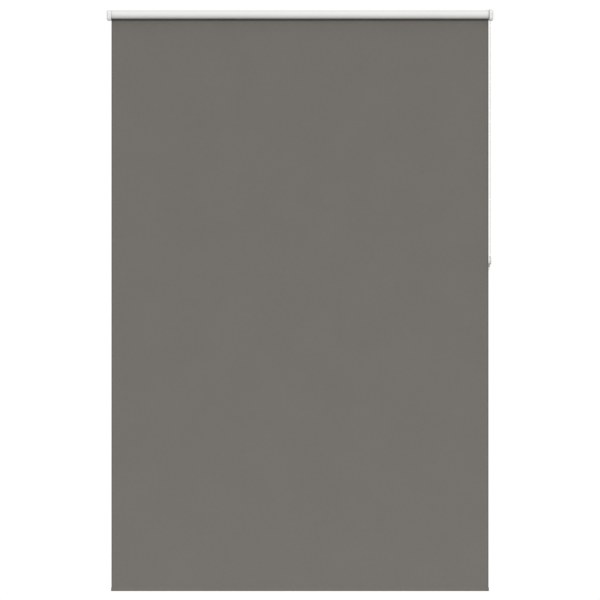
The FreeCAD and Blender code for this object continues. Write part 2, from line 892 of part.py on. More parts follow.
def make_spindle():
    """Fixed shaft that the wheel, the springs and the hub turn on."""
    body = new_body("clutch_spindle")
    groove_out = clip_x() + s.running_fit / 2
    groove_in = clip_x() - s.clip_thickness - s.running_fit / 2
    end = groove_in - 1.5
    turned(
        body,
        "shaft",
        [
            (end, 0),
            (end, spindle_radius),
            (groove_in, spindle_radius),
            (groove_in, spindle_radius - s.clip_depth),
            (groove_out, spindle_radius - s.clip_depth),
            (groove_out, spindle_radius),
            (plate_in, spindle_radius),
            (plate_in, 0),
        ],
    )
    half = tenon_half
    box(body, "square_end", "Additive", (plate_in - 1, -half, -half), (arm_in, half, half))


def make_spindle_clip():
    """Open ring in the spindle's groove."""
    body = new_body("spindle_clip")
    inner = spindle_radius - s.clip_depth + s.running_fit
    outer_x = clip_x()
    inner_x = clip_x() - s.clip_thickness
    outer = spindle_radius + s.clip_height
    turned(
        body,
        "ring",
        [(inner_x, inner), (outer_x, inner), (outer_x, outer), (inner_x, outer)],
        arc=s.clip_arc,
    )


# ---------------------------------------------------------------- the chain


def make_chain_on_wheel():
    """The chain's string where it runs over the wheel, in the wheel's slot."""
    body = new_body("chain_on_wheel")
    path = sketch_on(body, "YZ_Plane", "string_path", chain_x)
    add_hairpin(path, 0, -s.chain_exit, over_top=True)
    sweep_along(body, path, s.string_radius, chain_x, -pitch_radius, -s.chain_exit)


def make_chain_loop():
    """The free part of the chain as a plain tube of the beads' diameter."""
    body = new_body("chain_loop")
    path = sketch_on(body, "YZ_Plane", "loop_path", chain_x)
    add_hairpin(path, -s.chain_drop, -s.chain_exit, over_top=False)
    sweep_along(body, path, s.bead_radius, chain_x, -pitch_radius, -s.chain_exit)


def add_hairpin(sketch, middle, end, over_top):
    """Two upright lines joined by a half circle of the pitch radius round (0, middle)."""
    r, z0, z1 = number(pitch_radius), number(end), number(middle)
    circle = Part.Circle(FreeCAD.Vector(0, z1, 0), FreeCAD.Vector(0, 0, 1), r)
    first = sketch.addGeometry(
        Part.LineSegment(FreeCAD.Vector(-r, z0, 0), FreeCAD.Vector(-r, z1, 0))
    )
    if over_top:
        bend = sketch.addGeometry(Part.ArcOfCircle(circle, 0, math.pi))
        left_end, right_end = 2, 1
    else:
        bend = sketch.addGeometry(Part.ArcOfCircle(circle, math.pi, 2 * math.pi))
        left_end, right_end = 1, 2
    last = sketch.addGeometry(
        Part.LineSegment(FreeCAD.Vector(r, z1, 0), FreeCAD.Vector(r, z0, 0))
    )
    for kind, a, a_end, b, b_end in (
        ("Tangent", first, 2, bend, left_end),
        ("Tangent", bend, right_end, last, 1),
    ):
        sketch.addConstraint(Sketcher.Constraint(kind, a, a_end, b, b_end))
    pin_point(sketch, bend, 3, 0, middle)
    pin_point(sketch, first, 1, -pitch_radius, end)
    pin_point(sketch, last, 2, pitch_radius, end)


def sweep_along(body, path, radius, x, y, z):
    section = sketch_on(body, "XY_Plane", path.Name + "_section", z)
    add_circle(section, x, y, radius)
    pipe = body.newObject("PartDesign::AdditivePipe", path.Name + "_pipe")
    pipe.Profile = section
    pipe.Spine = path


def make_tensioner():
    """Holds the loop's lower end to the wall: two cheeks, a drum between them, a back plate and
    a foot. The foot stands to one side, so that its screw is reached beside the chain."""
    body = new_body("chain_tensioner")
    inner = s.bead_radius + s.guard_gap
    outer = inner + s.guard_wall
    guard_radius = pitch_radius + s.bead_radius + s.guard_rim
    middle = -s.chain_drop
    for name, x0 in (("left_cheek", chain_x - outer), ("right_cheek", chain_x + inner)):
        round_end = sketch_on(body, "YZ_Plane", name + "_round", x0)
        add_circle(round_end, 0, middle, guard_radius)
        pad(body, round_end, s.guard_wall)
        box(
            body,
            name + "_arm",
            "Additive",
            (x0, 0, middle - guard_radius),
            (x0 + s.guard_wall, s.axis_depth, middle + guard_radius),
        )
    drum = sketch_on(body, "YZ_Plane", "drum", chain_x - inner - JOIN)
    add_circle(drum, 0, middle, pitch_radius - s.bead_radius - s.drum_fit)
    pad(body, drum, 2 * inner + 2 * JOIN)
    box(
        body,
        "back_plate",
        "Additive",
        (chain_x - outer, s.axis_depth - s.foot_thickness, middle - guard_radius),
        (chain_x + outer, s.axis_depth, middle + guard_radius),
    )
    foot_x = chain_x - s.foot_offset
    box(
        body,
        "foot",
        "Additive",
        (foot_x - outer, s.axis_depth - s.foot_thickness, middle - s.foot_drop),
        (foot_x + outer, s.axis_depth, middle - guard_radius + s.foot_overlap),
    )
    hole = sketch_on(body, "XZ_Plane", "foot_hole", -s.axis_depth)
    add_circle(hole, foot_x, middle - s.foot_hole_drop, s.foot_hole_radius)
    drilled = pocket(body, hole, s.foot_thickness * 3)
    drilled.Midplane = True
    doc.recompute()
    foot_end = middle - s.foot_drop
    corners = edges_where(
        drilled, lambda c, b: near(c.z, foot_end) and b.YLength > 1 and b.XLength < 0.1
    )
    rounded = fillet(body, drilled, corners, s.foot_corner, "foot_corners")
    doc.recompute()
    sides = (chain_x - outer, chain_x + outer)
    outline = edges_where(
        rounded,
        lambda c, b: b.XLength < 0.01 and any(near(c.x, x) for x in sides) and c.y < -0.1,
    )
    fillet(body, rounded, outline, s.guard_edge, "outline")


# ---------------------------------------------------------------- the hanging cloth


def make_panel():
    body = new_body("fabric_panel")
    box(
        body,
        "cloth",
        "Additive",
        (-tube_end, panel_back - s.fabric_thickness, hem_top),
        (tube_end, panel_back, 0),
    )


def make_hem():
    """The cloth's end, folded round the slat and welded to itself above it."""
    body = new_body("hem")
    outside = sketch_on(body, "YZ_Plane", "hem_outside", -tube_end)
    add_slot(outside, cloth_y, slat_z, pocket_outer, pocket_half_height + s.fabric_thickness)
    pad(body, outside, s.fabric_width)
    box(
        body,
        "weld",
        "Additive",
        (-tube_end, cloth_y - s.fabric_thickness, slat_z + pocket_half_height),
        (tube_end, cloth_y + s.fabric_thickness, hem_top),
    )
    inside = sketch_on(body, "YZ_Plane", "hem_inside", -tube_end)
    add_slot(inside, cloth_y, slat_z, pocket_half_thickness, pocket_half_height)
    cut = pocket(body, inside, s.fabric_width * 3)
    cut.Midplane = True


def make_slat():
    body = new_body("bottom_slat")
    end = tube_end - s.slat_inset
    section = sketch_on(body, "YZ_Plane", "slat_section", -end)
    add_slot(section, cloth_y, slat_z, s.slat_thickness / 2, s.slat_height / 2)
    add_slot(
        section,
        cloth_y,
        slat_z,
        s.slat_thickness / 2 - s.slat_wall,
        s.slat_height / 2 - s.slat_wall,
    )
    pad(body, section, 2 * end)


def make_slat_cap(label, side):
    """End cap: a button over the hem's end, a neck as wide as the slat and a tongue in it."""
    body = new_body(label)
    slat_end = tube_end - s.slat_inset
    neck_low, neck_high = mirror_pair(side, slat_end, tube_end + 0.2)
    tongue_low, tongue_high = mirror_pair(side, slat_end - s.cap_tongue, slat_end + 0.2)
    face_low, face_high = mirror_pair(side, tube_end, tube_end + s.cap_thickness)
    inner_half = s.slat_thickness / 2 - s.slat_wall - s.slat_fit
    inner_height = s.slat_height / 2 - s.slat_wall - s.slat_fit
    layers = (
        ("button", face_low, face_high, pocket_outer + s.cap_rim, None),
        ("neck", neck_low, neck_high, s.slat_thickness / 2, s.slat_height / 2),
        ("tongue", tongue_low, tongue_high, inner_half, inner_height),
    )
    for name, low, high, half_width, half_height in layers:
        if half_height is None:
            half_height = pocket_half_height + s.fabric_thickness
        sketch = sketch_on(body, "YZ_Plane", name, low)
        add_slot(sketch, cloth_y, slat_z, half_width, half_height)
        solid = pad(body, sketch, high - low)
    doc.recompute()
    outside = side * (tube_end + s.cap_thickness)
    rim = edges_where(solid, lambda c, b: near(b.XMin, outside) and near(b.XMax, outside))
    fillet(body, solid, rim, s.cap_edge, "soft_edge")


# ---------------------------------------------------------------- the assembly


def check(items):
    """Stops the build if anything failed to compute."""
    for item in doc.Objects:
        if "Invalid" in item.State or "Error" in item.State:
            raise RuntimeError("%s failed: %s" % (item.Label, item.State))
    for item in items:
        if item.Shape.isNull() or not item.Shape.isValid() or not item.Shape.Solids:
            raise RuntimeError("%s has no valid solid" % item.Label)


def parts_made():
    """Every part: the bodies and shapes that no other object uses."""
    kinds = ("PartDesign::Body", "Part::Cut", "Part::Feature")
    used = [i for item in doc.Objects if item.TypeId == "Part::Cut" for i in (item.Base, item.Tool)]
    return [item for item in doc.Objects if item.TypeId in kinds and item not in used]


def report_chain(loop):
    """Compares the free chain's volume with its section times its length."""
    radius = number(s.bead_radius)
    bend = number(pitch_radius)
    length = 2 * number(s.chain_drop - s.chain_exit) + math.pi * bend
    print("chain: bends with radius %.3f mm, bead radius %.2f mm" % (bend, radius))
    print(
        "chain: %.1f mm long, section x length %.1f mm3, solid %.1f mm3"
        % (length, math.pi * radius**2 * length, loop.Shape.Volume)
    )


def main():
    make_tube()
    make_tape()
    make_roll()
    make_idle_plug()
    make_spring_stop()
    make_idle_pin()
    make_idle_spring()
    make_drive_hub()
    make_chain_wheel()
    make_wrap_spring(1)
    make_wrap_spring(2)
    make_left_bracket()
    make_right_bracket()
    make_cover("left_cover", -1)
    make_right_cover()
    make_housing()
    make_spindle()
    make_spindle_clip()
    make_chain_on_wheel()
    make_chain_loop()
    make_tensioner()
    make_panel()
    make_hem()
    make_slat()
    make_slat_cap("slat_cap_left", -1)
    make_slat_cap("slat_cap_right", 1)
    doc.recompute()
    parts = parts_made()
    check(parts)
    os.makedirs("parts", exist_ok=True)
    for item in parts:
        item.Shape.exportStep("parts/%s.step" % item.Label)
        print(
            "%-18s %d solid(s), %10.1f mm3"
            % (item.Label, len(item.Shape.Solids), item.Shape.Volume)
        )
    report_chain(next(item for item in parts if item.Label == "chain_loop"))


main()
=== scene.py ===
"""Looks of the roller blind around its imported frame. Metres, in the frame of the CAD model."""

import json
import math

import bpy
import numpy as np
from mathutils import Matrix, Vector


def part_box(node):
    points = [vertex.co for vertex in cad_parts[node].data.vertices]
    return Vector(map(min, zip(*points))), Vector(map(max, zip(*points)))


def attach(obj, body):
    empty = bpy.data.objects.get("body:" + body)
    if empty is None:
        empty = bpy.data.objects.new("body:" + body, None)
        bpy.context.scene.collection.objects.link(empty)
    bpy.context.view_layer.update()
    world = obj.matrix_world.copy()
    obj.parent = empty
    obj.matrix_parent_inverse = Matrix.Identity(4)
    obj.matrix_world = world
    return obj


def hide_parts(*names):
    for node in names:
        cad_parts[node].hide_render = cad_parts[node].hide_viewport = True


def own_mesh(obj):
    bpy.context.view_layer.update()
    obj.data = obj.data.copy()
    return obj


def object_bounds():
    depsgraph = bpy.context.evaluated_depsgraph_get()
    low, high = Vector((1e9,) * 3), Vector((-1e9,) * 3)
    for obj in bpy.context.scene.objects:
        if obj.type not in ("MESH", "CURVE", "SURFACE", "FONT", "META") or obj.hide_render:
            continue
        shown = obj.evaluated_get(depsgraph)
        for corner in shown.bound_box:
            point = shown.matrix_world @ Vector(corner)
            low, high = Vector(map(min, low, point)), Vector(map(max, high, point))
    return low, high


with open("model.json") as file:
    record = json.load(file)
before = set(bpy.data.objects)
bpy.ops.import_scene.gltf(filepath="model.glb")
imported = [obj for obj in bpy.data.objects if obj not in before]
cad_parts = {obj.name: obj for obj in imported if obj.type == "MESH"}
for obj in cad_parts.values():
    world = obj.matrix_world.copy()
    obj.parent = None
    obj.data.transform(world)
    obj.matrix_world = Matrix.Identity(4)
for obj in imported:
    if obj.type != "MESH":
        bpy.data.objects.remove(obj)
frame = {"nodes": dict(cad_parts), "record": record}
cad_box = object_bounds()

# ---------------------------------------------------------------- sizes from the frame

MM = 0.001
PANEL_LOW, PANEL_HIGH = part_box("fabric_panel")
ROLL_LOW, ROLL_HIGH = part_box("fabric_roll")
TUBE_LOW, TUBE_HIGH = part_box("roller_tube")
HEM_LOW, HEM_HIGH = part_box("hem")
SLAT_LOW, SLAT_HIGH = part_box("bottom_slat")
LOOP_LOW, LOOP_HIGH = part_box("chain_loop")

# The cloth: its thickness and width, the plane it hangs in, and the roll round the tube.
CLOTH = PANEL_HIGH.y - PANEL_LOW.y
CLOTH_WIDTH = PANEL_HIGH.x - PANEL_LOW.x
HALF_WIDTH = CLOTH_WIDTH / 2
CLOTH_Y = (PANEL_HIGH.y + PANEL_LOW.y) / 2
HEM_TOP = HEM_HIGH.z
WEAVE_PITCH = 0.45 * MM
AXIS_Y = (ROLL_LOW.y + ROLL_HIGH.y) / 2
TUBE_TO_CLOTH = 0.2 * MM
ROLL_INNER = (TUBE_HIGH.z - TUBE_LOW.z) / 2 + TUBE_TO_CLOTH
WRAPS = 2.75

# The bead chain: two strands CHAIN_R before and behind the roller's axis.
BEAD = 4.5 * MM
STRING = 1.5 * MM
BEAD_PITCH = 6 * MM
WHEEL_POCKETS = 12
CHAIN_X = (LOOP_LOW.x + LOOP_HIGH.x) / 2
CHAIN_R = (LOOP_HIGH.y - LOOP_LOW.y) / 2 - BEAD / 2
CHAIN_EXIT_Z = LOOP_HIGH.z
CHAIN_TURN_Z = LOOP_LOW.z + CHAIN_R + BEAD / 2


# ---------------------------------------------------------------- camera, light and stage


def make_camera():
    """A very long lens straight in front, nearly without perspective, level with the blind's
    middle."""
    distance = 45.0
    view_width = 2.1738
    level = -1.0344
    data = bpy.data.cameras.new("camera")
    data.sensor_width = 36
    data.lens = data.sensor_width * distance / view_width
    data.clip_start = 1
    data.clip_end = 200
    camera = bpy.data.objects.new("camera", data)
    camera.location = (0, CLOTH_Y - distance, level)
    camera.rotation_euler = (math.pi / 2, 0, 0)
    bpy.context.scene.collection.objects.link(camera)
    bpy.context.scene.camera = camera


def add_sun(name, azimuth, elevation, strength, angle):
    """A sun that shines from azimuth (0 is the room side) and elevation, in degrees."""
    data = bpy.data.lights.new(name, "SUN")
    data.energy = strength
    data.angle = math.radians(angle)
    sun = bpy.data.objects.new(name, data)
    a, e = math.radians(azimuth), math.radians(elevation)
    towards = Vector((math.sin(a) * math.cos(e), -math.cos(a) * math.cos(e), math.sin(e)))
    sun.rotation_mode = "QUATERNION"
    sun.rotation_quaternion = towards.to_track_quat("Z", "Y")
    bpy.context.scene.collection.objects.link(sun)


def make_world(shown, ambient):
    """A white surround, shown and mirrored at full brightness, that lights more softly."""
    world = bpy.data.worlds.new("studio")
    bpy.context.scene.world = world
    world.use_nodes = True
    nodes, links = world.node_tree.nodes, world.node_tree.links
    nodes.clear()
    out = nodes.new("ShaderNodeOutputWorld")
    mix = nodes.new("ShaderNodeMixShader")
    ray = nodes.new("ShaderNodeLightPath")
    soft = nodes.new("ShaderNodeBackground")
    seen = nodes.new("ShaderNodeBackground")
    soft.inputs["Strength"].default_value = ambient
    soft.inputs["Color"].default_value = (1, 1, 1, 1)
    seen.inputs["Strength"].default_value = shown
    seen.inputs["Color"].default_value = (1, 1, 1, 1)
    either = nodes.new("ShaderNodeMath")
    either.operation = "MAXIMUM"
    links.new(ray.outputs["Is Camera Ray"], either.inputs[0])
    links.new(ray.outputs["Is Glossy Ray"], either.inputs[1])
    links.new(either.outputs[0], mix.inputs["Fac"])
    links.new(soft.outputs["Background"], mix.inputs[1])
    links.new(seen.outputs["Background"], mix.inputs[2])
    links.new(mix.outputs["Shader"], out.inputs["Surface"])


def make_floor():
    """A pale floor below the blind, out of the front view."""
    mesh = bpy.data.meshes.new("floor")
    z = cad_box[0].z - 0.45
    side, back = 3.0, 1.6
    corners = [(-side, -side, z), (side, -side, z), (side, back, z), (-side, back, z)]
    mesh.from_pydata(corners, [], [(0, 1, 2, 3)])
    floor = bpy.data.objects.new("floor", mesh)
    bpy.context.scene.collection.objects.link(floor)
    floor.data.materials.append(plain_material("floor_paint", (0.74, 0.74, 0.73), 0.8, 0.01, 40))


# ---------------------------------------------------------------- materials


class Nodes:
    """A material's node tree with short ways to add to it."""

    def __init__(self, name):
        self.material = bpy.data.materials.new(name)
        self.material.use_nodes = True
        self.tree = self.material.node_tree
        self.tree.nodes.clear()
        self.shader = self.add("ShaderNodeBsdfPrincipled")
        out = self.add("ShaderNodeOutputMaterial")
        self.join(self.shader.outputs["BSDF"], out.inputs["Surface"])
        place = self.add("ShaderNodeTexCoord")
        self.place = place.outputs["Object"]

    def add(self, kind):
        return self.tree.nodes.new(kind)

    def join(self, source, target):
        self.tree.links.new(source, target)

    def math(self, operation, *values):
        """A Math node; each value is a number or another node's output."""
        node = self.add("ShaderNodeMath")
        node.operation = operation
        for slot, value in zip(node.inputs, values):
            if isinstance(value, (int, float)):
                slot.default_value = value
            else:
                self.join(value, slot)
        return node.outputs[0]

    def stretched(self, scale):
        """The object's coordinates, scaled along each axis."""
        node = self.add("ShaderNodeMapping")
        node.inputs["Scale"].default_value = scale
        self.join(self.place, node.inputs["Vector"])
        return node.outputs["Vector"]

    def noise(self, scale, detail=2.0, vector=None, roughness=0.5):
        node = self.add("ShaderNodeTexNoise")
        node.inputs["Scale"].default_value = scale
        node.inputs["Detail"].default_value = detail
        node.inputs["Roughness"].default_value = roughness
        self.join(vector if vector else self.place, node.inputs["Vector"])
        return node.outputs[0]

    def mapped(self, value, start, end, low, high):
        """Maps start..end smoothly to low..high."""
        node = self.add("ShaderNodeMapRange")
        node.interpolation_type = "SMOOTHSTEP"
        node.inputs["From Min"].default_value = start
        node.inputs["From Max"].default_value = end
        node.inputs["To Min"].default_value = low
        node.inputs["To Max"].default_value = high
        self.join(value, node.inputs["Value"])
        return node.outputs["Result"]

    def spread(self, value, low, high):
        """Maps most of a noise's range to low..high."""
        return self.mapped(value, 0.25, 0.75, low, high)

    def shaded(self, colour, factor):
        """The colour times a factor from another node, set as the base colour."""
        mix = self.add("ShaderNodeVectorMath")
        mix.operation = "SCALE"
        mix.inputs[0].default_value = colour
        self.join(factor, mix.inputs["Scale"])
        self.join(mix.outputs["Vector"], self.shader.inputs["Base Color"])

    def bump(self, height, distance, strength=1.0):
        node = self.add("ShaderNodeBump")
        node.inputs["Distance"].default_value = distance
        node.inputs["Strength"].default_value = strength
        self.join(height, node.inputs["Height"])
        self.join(node.outputs["Normal"], self.shader.inputs["Normal"])


def plain_material(name, colour, roughness, variation, scale, metallic=0.0, bump=0.0, grain=None):
    """Plastic, paint or metal with uneven colour, roughness and, where bump is set, relief."""
    n = Nodes(name)
    n.shader.inputs["Metallic"].default_value = metallic
    vector = n.stretched(grain) if grain else None
    cloud = n.noise(scale, 3.0, vector)
    n.shaded(colour, n.spread(cloud, 1 - variation, 1 + variation))
    finer, rough_change = 7, 0.12
    fine = n.noise(scale * finer, 4.0, vector)
    uneven = n.spread(fine, roughness * (1 - rough_change), roughness * (1 + rough_change))
    n.join(uneven, n.shader.inputs["Roughness"])
    if bump:
        n.bump(fine, bump)
    return n.material


def weave_height(n, pitch):
    """Height of a plain weave, 0 to 1, and where its warp is on top: warp along Z and weft along X,
    over and under in turn."""
    split = n.add("ShaderNodeSeparateXYZ")
    n.join(n.place, split.inputs[0])
    turn = math.pi / pitch
    across = n.math("SINE", n.math("MULTIPLY", split.outputs["X"], turn))
    along = n.math("SINE", n.math("MULTIPLY", split.outputs["Z"], turn))
    warp_on_top = n.math("GREATER_THAN", n.math("MULTIPLY", across, along), 0.0)
    warp = n.math("ABSOLUTE", across)
    weft = n.math("ABSOLUTE", along)
    mix = n.add("ShaderNodeMix")
    n.join(warp_on_top, mix.inputs["Factor"])
    n.join(weft, mix.inputs[2])
    n.join(warp, mix.inputs[3])
    return mix.outputs[0], warp_on_top


def cloth_material(name, colour):
    """Taupe polyester: a fine plain weave with thicker and thinner threads, with painted shade in
    the weave's hollows and painted shade along its side edges, where they curl back."""
    n = Nodes(name)
    weave, warp_on_top = weave_height(n, WEAVE_PITCH)
    across_thread, along_thread = 2400, 60
    slub_warp = n.noise(1.0, 3.0, n.stretched((across_thread, across_thread, along_thread)))
    slub_weft = n.noise(1.0, 3.0, n.stretched((along_thread, along_thread, across_thread)))
    slub = n.add("ShaderNodeMix")
    n.join(warp_on_top, slub.inputs["Factor"])
    n.join(slub_weft, slub.inputs[2])
    n.join(slub_warp, slub.inputs[3])
    cloud = n.noise(6.0, 3.0)
    thread = n.spread(slub.outputs[0], 0.90, 1.10)
    tone = n.math("MULTIPLY", thread, n.spread(cloud, 0.985, 1.015))
    # painted shade: the colour darkens where the weave height is low, shade in the hollows between
    # the threads
    weave_hollow_shade = n.math("MULTIPLY_ADD", weave, 0.22, 0.86)
    split = n.add("ShaderNodeSeparateXYZ")
    n.join(n.place, split.inputs[0])
    to_edge = n.math("SUBTRACT", HALF_WIDTH, n.math("ABSOLUTE", split.outputs["X"]))
    # painted shade: the colour darkens over the last 5.5 mm towards each side edge, standing in for
    # the shading of the edges' curl
    curl_shade_band, curl_shade_tone = 5.5 * MM, 0.74
    tone = n.math("MULTIPLY", tone, n.mapped(to_edge, 0.0, curl_shade_band, curl_shade_tone, 1.0))
    n.shaded(colour, n.math("MULTIPLY", tone, weave_hollow_shade))
    n.join(n.spread(slub.outputs[0], 0.72, 0.88), n.shader.inputs["Roughness"])
    n.shader.inputs["Specular IOR Level"].default_value = 0.15
    n.shader.inputs["Sheen Weight"].default_value = 0.03
    n.shader.inputs["Sheen Roughness"].default_value = 0.5
    n.bump(weave, 0.08 * MM, 0.6)
    return n.material


def coating_material(name, colour):
    """White acrylic coating on the cloth's back, with the weave just showing through."""
    n = Nodes(name)
    weave, _ = weave_height(n, WEAVE_PITCH)
    mottle = n.noise(220.0, 4.0)
    cloud = n.noise(5.0, 2.0)
    tone = n.math("MULTIPLY", n.spread(mottle, 0.985, 1.015), n.spread(cloud, 0.99, 1.01))
    n.shaded(colour, tone)
    n.join(n.spread(mottle, 0.56, 0.68), n.shader.inputs["Roughness"])
    relief = n.math("MULTIPLY_ADD", weave, 0.35, mottle)
    n.bump(relief, 0.03 * MM, 0.5)
    return n.material


def string_material(name, colour):
    """Braided polyester string."""
    n = Nodes(name)
    strands = n.noise(1800.0, 3.0, n.stretched((1, 1, 0.4)))
    n.shaded(colour, n.spread(strands, 0.86, 1.08))
    n.shader.inputs["Roughness"].default_value = 0.8
    n.bump(strands, 0.1 * MM)
    return n.material


def make_materials():
    """Every material by the record's slot name, and the extra faces of the cloth."""
    plain = plain_material
    return {
        "blind_cloth": cloth_material("cloth_face", (0.169, 0.1592, 0.1442)),
        "roll_coating": coating_material("cloth_coating", (0.80, 0.80, 0.79)),
        "tape": plain("tape_film", (0.66, 0.62, 0.50), 0.4, 0.05, 60),
        "cover_plastic": plain("cover_plastic", (0.81, 0.81, 0.80), 0.42, 0.008, 90, bump=0.01 * MM),
        "cap_plastic": plain("cap_plastic", (0.21, 0.20, 0.185), 0.45, 0.02, 120, bump=0.02 * MM),
        "chain_plastic": plain("bead_plastic", (0.90, 0.90, 0.885), 0.2, 0.01, 160),
        "chain_string": string_material("chain_string", (0.74, 0.74, 0.71)),
        "grey_plastic": plain("filled_nylon", (0.46, 0.46, 0.45), 0.5, 0.03, 150, bump=0.02 * MM),
        "white_acetal": plain("acetal", (0.80, 0.80, 0.77), 0.35, 0.015, 150),
        "spindle_plastic": plain("dark_nylon", (0.07, 0.07, 0.075), 0.45, 0.04, 150, bump=0.02 * MM),
        "bracket_steel": plain("powder_coat", (0.80, 0.80, 0.79), 0.5, 0.01, 200, bump=0.04 * MM),
        "spring_steel": plain("spring_steel", (0.55, 0.55, 0.56), 0.3, 0.05, 300, metallic=1.0),
        "tube_aluminium": plain(
            "mill_tube", (0.78, 0.78, 0.79), 0.35, 0.04, 3, metallic=1.0, grain=(1, 90, 90)
        ),
        "slat_aluminium": plain(
            "mill_slat", (0.76, 0.76, 0.77), 0.38, 0.04, 3, metallic=1.0, grain=(1, 90, 90)
        ),
        "cloth_edge": plain("cloth_edge", (0.52, 0.51, 0.49), 0.8, 0.06, 900),
    }


# ---------------------------------------------------------------- mesh helpers


def add_mesh(name, vertices, faces, materials, indices=None, smooth=True):
    """A mesh object in the scene; indices names each face's material by its number."""
    mesh = bpy.data.meshes.new(name)
    mesh.from_pydata([tuple(v) for v in vertices], [], faces)
    for material in materials:
        mesh.materials.append(material)
    if indices is not None:
        mesh.polygons.foreach_set("material_index", indices)
    mesh.polygons.foreach_set("use_smooth", [smooth] * len(mesh.polygons))
    mesh.validate()
    mesh.update()
    piece = bpy.data.objects.new(name, mesh)
    bpy.context.scene.collection.objects.link(piece)
    return piece


def sharpen(piece, degrees=35):
    """Marks the edges that turn by more than the angle as sharp."""
    mesh = piece.data
    limit = math.cos(math.radians(degrees))
    normals = [p.normal.copy() for p in mesh.polygons]
    beside = {}
    for polygon in mesh.polygons:
        for key in polygon.edge_keys:
            beside.setdefault(key, []).append(polygon.index)
    for edge in mesh.edges:
        faces = beside.get(edge.key, [])
        turned = len(faces) != 2 or normals[faces[0]].dot(normals[faces[1]]) < limit
        edge.use_edge_sharp = turned


def grid_solid(front, back):
    """Faces of a closed solid between two grids of points with the same rows and columns.
    Returns vertices, faces and, for each face, 0 front, 1 back or 2 edge."""
    rows, columns = front.shape[:2]
    count = rows * columns
    vertices = np.concatenate([front.reshape(-1, 3), back.reshape(-1, 3)])
    faces, kinds = [], []
    for i in range(rows - 1):
        for j in range(columns - 1):
            a = i * columns + j
            b = a + columns
            faces.append((a, a + 1, b + 1, b))
            kinds.append(0)
            faces.append((count + a, count + b, count + b + 1, count + a + 1))
            kinds.append(1)
    for i in range(rows - 1):
        for j in (0, columns - 1):
            a = i * columns + j
            b = a + columns
            faces.append((a, b, count + b, count + a) if j == 0 else (b, a, count + a, count + b))
            kinds.append(2)
    for i in (0, rows - 1):
        for j in range(columns - 1):
            a = i * columns + j
            b = a + 1
            faces.append((a, count + a, count + b, b) if i == 0 else (b, count + b, count + a, a))
            kinds.append(2)
    return vertices, faces, kinds


def ease(value):
    """0 below 0, 1 above 1 and smooth between."""
    value = np.clip(value, 0, 1)
    return value * value * (3 - 2 * value)


def edge_columns(half, fine, coarse):
    """Places along X from -half to half, closer together in the last 12 mm."""
    border = 12 * MM
    left = np.linspace(-half, -half + border, fine)
    middle = np.linspace(-half + border, half - border, coarse)[1:-1]
    return np.concatenate([left, middle, -left[::-1]])


# ---------------------------------------------------------------- the cloth


def panel_offset(x, z):
    """How far the hanging cloth stands out of its plane, towards the wall: three faint waves and
    side edges that curl back, flat near the roll and the hem. Its top leaves the roll's surface."""
    length = -HEM_TOP
    flat_top, flat_bottom, leaving = 0.12, 0.10, 0.03
    free = ease(-z / flat_top) * ease((z - HEM_TOP) / flat_bottom)
    wave = 0.35 * MM * np.sin(2 * math.pi * x / 0.61 + 1.1) * np.sin(math.pi * z / length)
    wave += 0.22 * MM * np.sin(2 * math.pi * x / 0.27 + 5.1 * z)
    wave += 0.15 * MM * np.sin(2 * math.pi * (x + 0.4 * z) / 0.93)
    curl_width, curl_depth = 7 * MM, 1.8 * MM
    curl = np.clip((np.abs(x) - (HALF_WIDTH - curl_width)) / curl_width, 0, 1) ** 2
    to_roll = -(CLOTH_Y - AXIS_Y - roll_radius(1.0) - CLOTH / 2) * (1 - ease(-z / leaving))
    return to_roll + free * (wave + curl_depth * curl)


def roll_radius(share):
    """Radius of the inner face of the rolled cloth, at a share of its length on the tube."""
    return ROLL_INNER + WRAPS * CLOTH * share


def make_panel(materials):
    """The hanging cloth: taupe in front, coated at the back, its side edges curling a little."""
    x = edge_columns(HALF_WIDTH, 9, 121)
    upper = -0.04
    z = np.concatenate([np.linspace(0, upper, 14)[:-1], np.linspace(upper, HEM_TOP, 170)])
    grid_x, grid_z = np.meshgrid(x, z)
    middle = CLOTH_Y + panel_offset(grid_x, grid_z)
    front = np.stack([grid_x, middle - CLOTH / 2, grid_z], axis=-1)
    back = np.stack([grid_x, middle + CLOTH / 2, grid_z], axis=-1)
    vertices, faces, kinds = grid_solid(front, back)
    faces = [face[::-1] for face in faces]
    panel = add_mesh("hanging_cloth", vertices, faces, materials, kinds)
    sharpen(panel)
    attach(panel, "mounting")
    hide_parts("fabric_panel")
    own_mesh(panel)
    return panel


def make_roll(materials):
    """The turns on the tube, as the spiral that the cloth makes, coating outwards. Their ends
    stop a little short of the full width, some more than others."""
    turned = 2 * math.pi * WRAPS
    steps = 288
    between_turns = 0.02 * MM
    share = np.linspace(0, 1, steps + 1)
    angle = turned * (1 - share)
    x = edge_columns(HALF_WIDTH, 4, 33)
    inner = roll_radius(share)
    short = np.abs(0.25 * MM * np.sin(11.3 * share * WRAPS))
    grids = []
    for radius in (inner, inner + CLOTH - between_turns):
        grid = np.zeros((steps + 1, len(x), 3))
        grid[:, :, 0] = x[None, :] * (1 - (short / HALF_WIDTH)[:, None])
        grid[:, :, 1] = AXIS_Y + (radius * np.cos(angle))[:, None]
        grid[:, :, 2] = (radius * np.sin(angle))[:, None]
        grids.append(grid)
    vertices, faces, kinds = grid_solid(*grids)
    faces = [face[::-1] for face in faces]
    roll = add_mesh("rolled_cloth", vertices, faces, materials, kinds)
    sharpen(roll)
    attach(roll, "roller")
    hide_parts("fabric_roll")
    return roll


